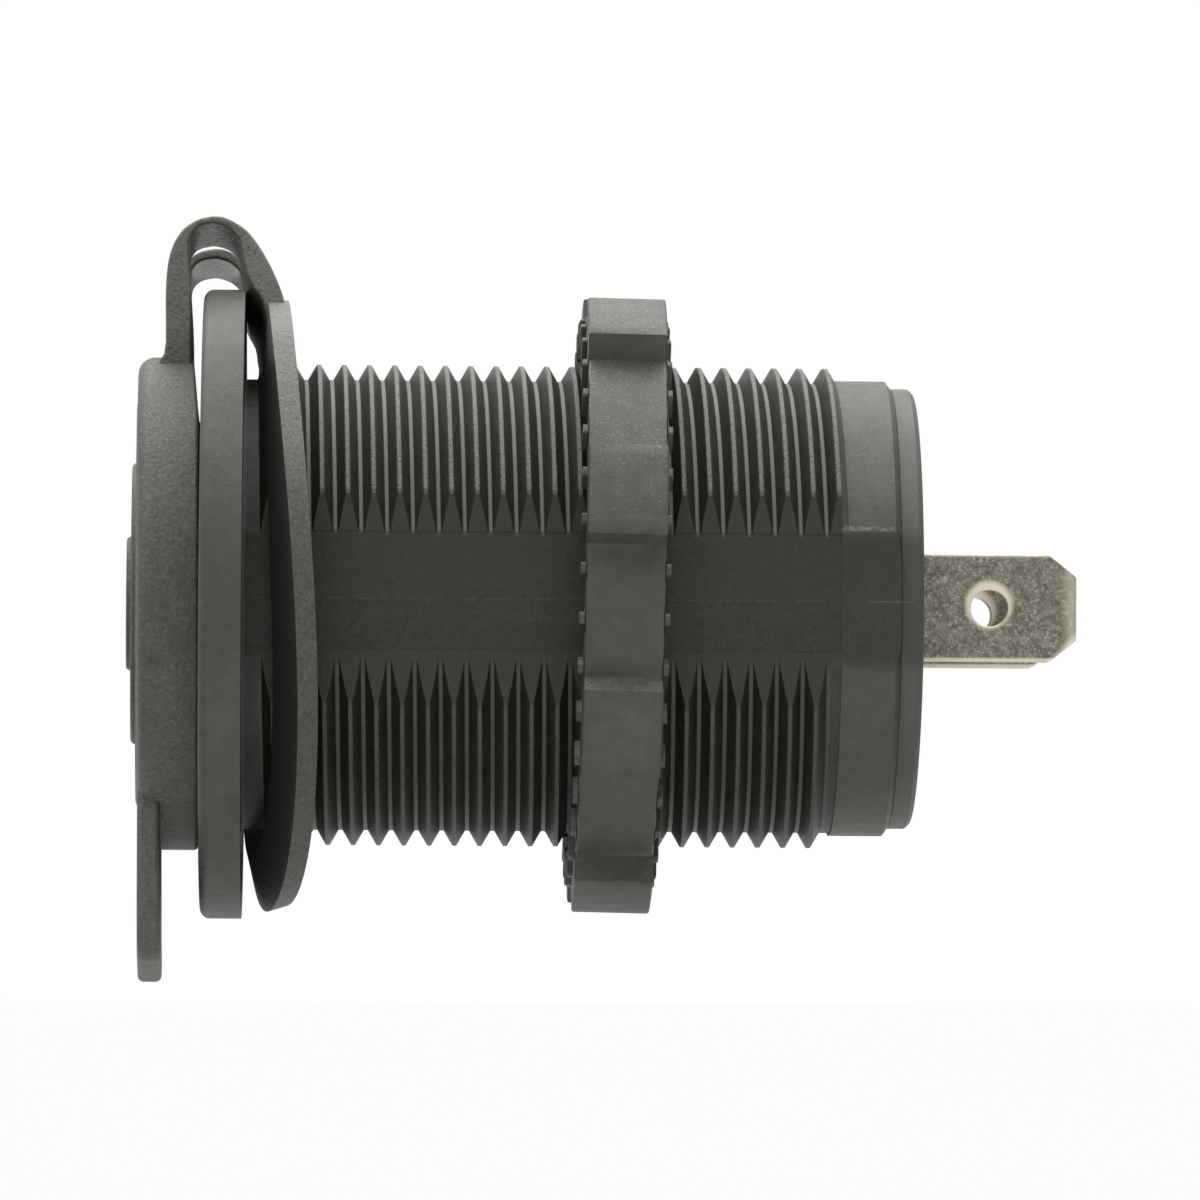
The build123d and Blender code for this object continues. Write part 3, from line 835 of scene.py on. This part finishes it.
class SOCKET_OT_housing(bpy.types.Operator):
    """Finish the housing, its rear cover and the ring nut as grained black plastic"""

    bl_idname = "socket.housing"
    bl_label = "Housing, cover and nut"

    def execute(self, context):
        shades = context.scene.socket_colours
        plastic = housing_plastic(tuple(shades.plastic), tuple(shades.barrel))
        for name in ("housing", "rear_cover"):
            dress(nodes[name], plastic)
        dress(nodes["ring_nut"], nut_plastic(tuple(shades.nut)))
        rounding(nodes["ring_nut"], 0.2)
        rounding(nodes["rear_cover"], 0.18)
        return {"FINISHED"}


class SOCKET_OT_metalwork(bpy.types.Operator):
    """Finish the sleeve, blades, contact, rivets and bush"""

    bl_idname = "socket.metalwork"
    bl_label = "Metalwork and bush"

    def execute(self, context):
        shades = context.scene.socket_colours
        dress(nodes["contact_sleeve"], nickel_plate("sleeve_plate", tuple(shades.sleeve)))
        blade = nickel_plate("blade_plate", tuple(shades.nickel), blade=True)
        for name in ("positive_terminal", "negative_terminal"):
            dress(nodes[name], blade)
            rounding(nodes[name], 0.1)
        brass = plain_brass(tuple(shades.brass))
        for name in ("centre_contact", "centre_rivet", "ground_rivet"):
            dress(nodes[name], brass)
        dress(nodes["insulating_bush"], fibre_board(tuple(shades.board)))
        return {"FINISHED"}


class SOCKET_OT_dust_cap(bpy.types.Operator):
    """Make the dust cap with its hollow plug and its pull tongue"""

    bl_idname = "socket.dust_cap"
    bl_label = "Dust cap"

    def execute(self, context):
        sizes = context.scene.rubber_sizes
        radius = sizes.cap_radius / MM
        front = CAP_BACK - sizes.cap_thickness / MM
        profile = cap_profile(radius, sizes.cap_edge / MM, front)
        build = slack(turned(profile, 144), radius)
        cap = piece("rubber_cap", build, rubber(), "cap")
        even_corners(cap)
        width, thickness, end = sizes.tongue_width, sizes.tongue_thickness, sizes.tongue_end
        tongue_inset = 0.03
        build = tongue_shape(width / MM, thickness / MM, end / MM, front + tongue_inset)
        tongue = piece("rubber_tongue", build, rubber(), "cap")
        rounding(tongue, 0.35)
        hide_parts("dust_cap")
        return {"FINISHED"}


class SOCKET_OT_sealing_ring(bpy.types.Operator):
    """Make the bowed sealing ring"""

    bl_idname = "socket.sealing_ring"
    bl_label = "Sealing ring"

    def execute(self, context):
        sizes = context.scene.rubber_sizes
        build = ring_shape(
            sizes.ring_inner / MM, sizes.ring_outer / MM, sizes.ring_thickness / MM
        )
        ring = piece("rubber_ring", build, rubber(), "socket")
        even_corners(ring)
        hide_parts("sealing_ring")
        return {"FINISHED"}


class SOCKET_OT_strap(bpy.types.Operator):
    """Make the strap between the ring and the cap"""

    bl_idname = "socket.strap"
    bl_label = "Strap"

    def execute(self, context):
        sizes = context.scene.rubber_sizes
        build = strap_shape(sizes.strap_width / MM, sizes.strap_band / MM)
        strap = piece("rubber_strap", build, rubber())
        rounding(strap, 0.22)
        bend_start, bend_end = [to_world(x, 0, BEND_HEIGHT) for x in BEND_X]
        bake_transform(strap)
        return {"FINISHED"}


def seen_rays(finish):
    """1 for rays from the camera and off mirrors or through glass, and 0 for the others."""
    rays = [
        finish.node("ShaderNodeLightPath", output="Is " + kind + " Ray")
        for kind in ("Camera", "Glossy", "Transmission")
    ]
    return finish.node("ShaderNodeClamp", {"Value": rays[0] + rays[1] + rays[2]})


def white_world(scene):
    """A world that is white where it is seen and lights the object faintly."""
    finish = Finish(bpy.data.worlds.new("white_room"))
    scene.world = finish.owner
    strength = finish.node(
        "ShaderNodeMapRange", {"Value": seen_rays(finish), "To Min": 0.2, "To Max": 1.0}
    )
    background = finish.node("ShaderNodeBackground", {"Color": (1, 1, 1, 1), "Strength": strength})
    finish.node("ShaderNodeOutputWorld", {"Surface": background})


def white_floor(scene, drop):
    """A floor that keeps the object's shadow and is about as white as the world where it is seen."""
    finish = new_finish("white_floor")
    shadow = finish.node("ShaderNodeBsdfDiffuse", {"Color": (0.3, 0.3, 0.3, 1)})
    glow = finish.node("ShaderNodeEmission", {"Strength": seen_rays(finish) * 0.48})
    both = finish.node("ShaderNodeAddShader", {0: shadow, 1: glow})
    finish.node("ShaderNodeOutputMaterial", {"Surface": both})
    reach = 2.0
    mesh = bpy.data.meshes.new("floor")
    outline = ((-reach, -reach), (reach, -reach), (reach, reach), (-reach, reach))
    corners = [(x, y, -drop) for x, y in outline]
    mesh.from_pydata(corners, [], [(0, 1, 2, 3)])
    floor = bpy.data.objects.new("floor", mesh)
    scene.collection.objects.link(floor)
    dress(floor, finish.owner)
    floor.visible_shadow = False


def lamp(scene, name, power, width, travel):
    """A sun whose light travels one way, spread over a width in degrees."""
    light = bpy.data.lights.new(name, "SUN")
    light.energy = power
    light.angle = radians(width)
    made = bpy.data.objects.new(name, light)
    made.rotation_mode = "QUATERNION"
    made.rotation_quaternion = Vector(travel).to_track_quat("-Z", "Y")
    scene.collection.objects.link(made)


def side_camera(scene, distance, frame_width):
    """A camera on the near side, a little below the axis and towards the mouth."""
    target = Vector(VIEW_TARGET) * MM
    tilt = radians(VIEW_TILT)
    place = Vector((VIEW_X * MM, -distance * cos(tilt), target.z - distance * sin(tilt)))
    view = bpy.data.cameras.new("camera")
    view.sensor_width = 36.0
    view.lens = view.sensor_width * (target - place).length / frame_width
    view.clip_start = 0.01
    view.clip_end = 20.0
    camera = bpy.data.objects.new("camera", view)
    camera.location = place
    camera.rotation_mode = "QUATERNION"
    roll = Quaternion((0, 0, 1), radians(VIEW_ROLL))
    camera.rotation_quaternion = (target - place).to_track_quat("-Z", "Y") @ roll
    scene.collection.objects.link(camera)
    scene.camera = camera


class SOCKET_OT_stage(bpy.types.Operator):
    """Make the white stage, the lights and the camera"""

    bl_idname = "socket.stage"
    bl_label = "Stage"

    def execute(self, context):
        scene = context.scene
        settings = scene.stage_settings
        scene.view_settings.view_transform = "Standard"
        white_world(scene)
        white_floor(scene, settings.floor_drop)
        lamp(scene, "overhead", 4.6, 95, (0.1, -0.05, -1.0))
        lamp(scene, "table_glow", 0.75, 32, (-0.05, 0.68, 0.73))
        side_camera(scene, settings.camera_distance, settings.frame_width)
        return {"FINISHED"}


OPERATORS = (
    SOCKET_OT_stage,
    SOCKET_OT_housing,
    SOCKET_OT_metalwork,
    SOCKET_OT_dust_cap,
    SOCKET_OT_sealing_ring,
    SOCKET_OT_strap,
)


class SOCKET_PT_panel(bpy.types.Panel):
    """Lists what can be made for the lighter socket"""

    bl_label = "Lighter socket"
    bl_idname = "SOCKET_PT_panel"
    bl_space_type = "VIEW_3D"
    bl_region_type = "UI"
    bl_category = "Lighter socket"

    def draw(self, context):
        for operator in OPERATORS:
            self.layout.operator(operator.bl_idname)
        for group in ("rubber_sizes", "socket_colours", "stage_settings"):
            box = self.layout.box()
            settings = getattr(context.scene, group)
            for key in settings.__annotations__:
                box.prop(settings, key)


CLASSES = (RubberSizes, Colours, StageSettings, *OPERATORS, SOCKET_PT_panel)


def register():
    for item in CLASSES:
        bpy.utils.register_class(item)
    bpy.types.Scene.rubber_sizes = PointerProperty(type=RubberSizes)
    bpy.types.Scene.socket_colours = PointerProperty(type=Colours)
    bpy.types.Scene.stage_settings = PointerProperty(type=StageSettings)


def unregister():
    del bpy.types.Scene.stage_settings
    del bpy.types.Scene.socket_colours
    del bpy.types.Scene.rubber_sizes
    for item in reversed(CLASSES):
        bpy.utils.unregister_class(item)


def main():
    """Registers the add-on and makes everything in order."""
    register()
    for operator in OPERATORS:
        group, name = operator.bl_idname.split(".")
        getattr(getattr(bpy.ops, group), name)()


if __name__ == "__main__":
    main()
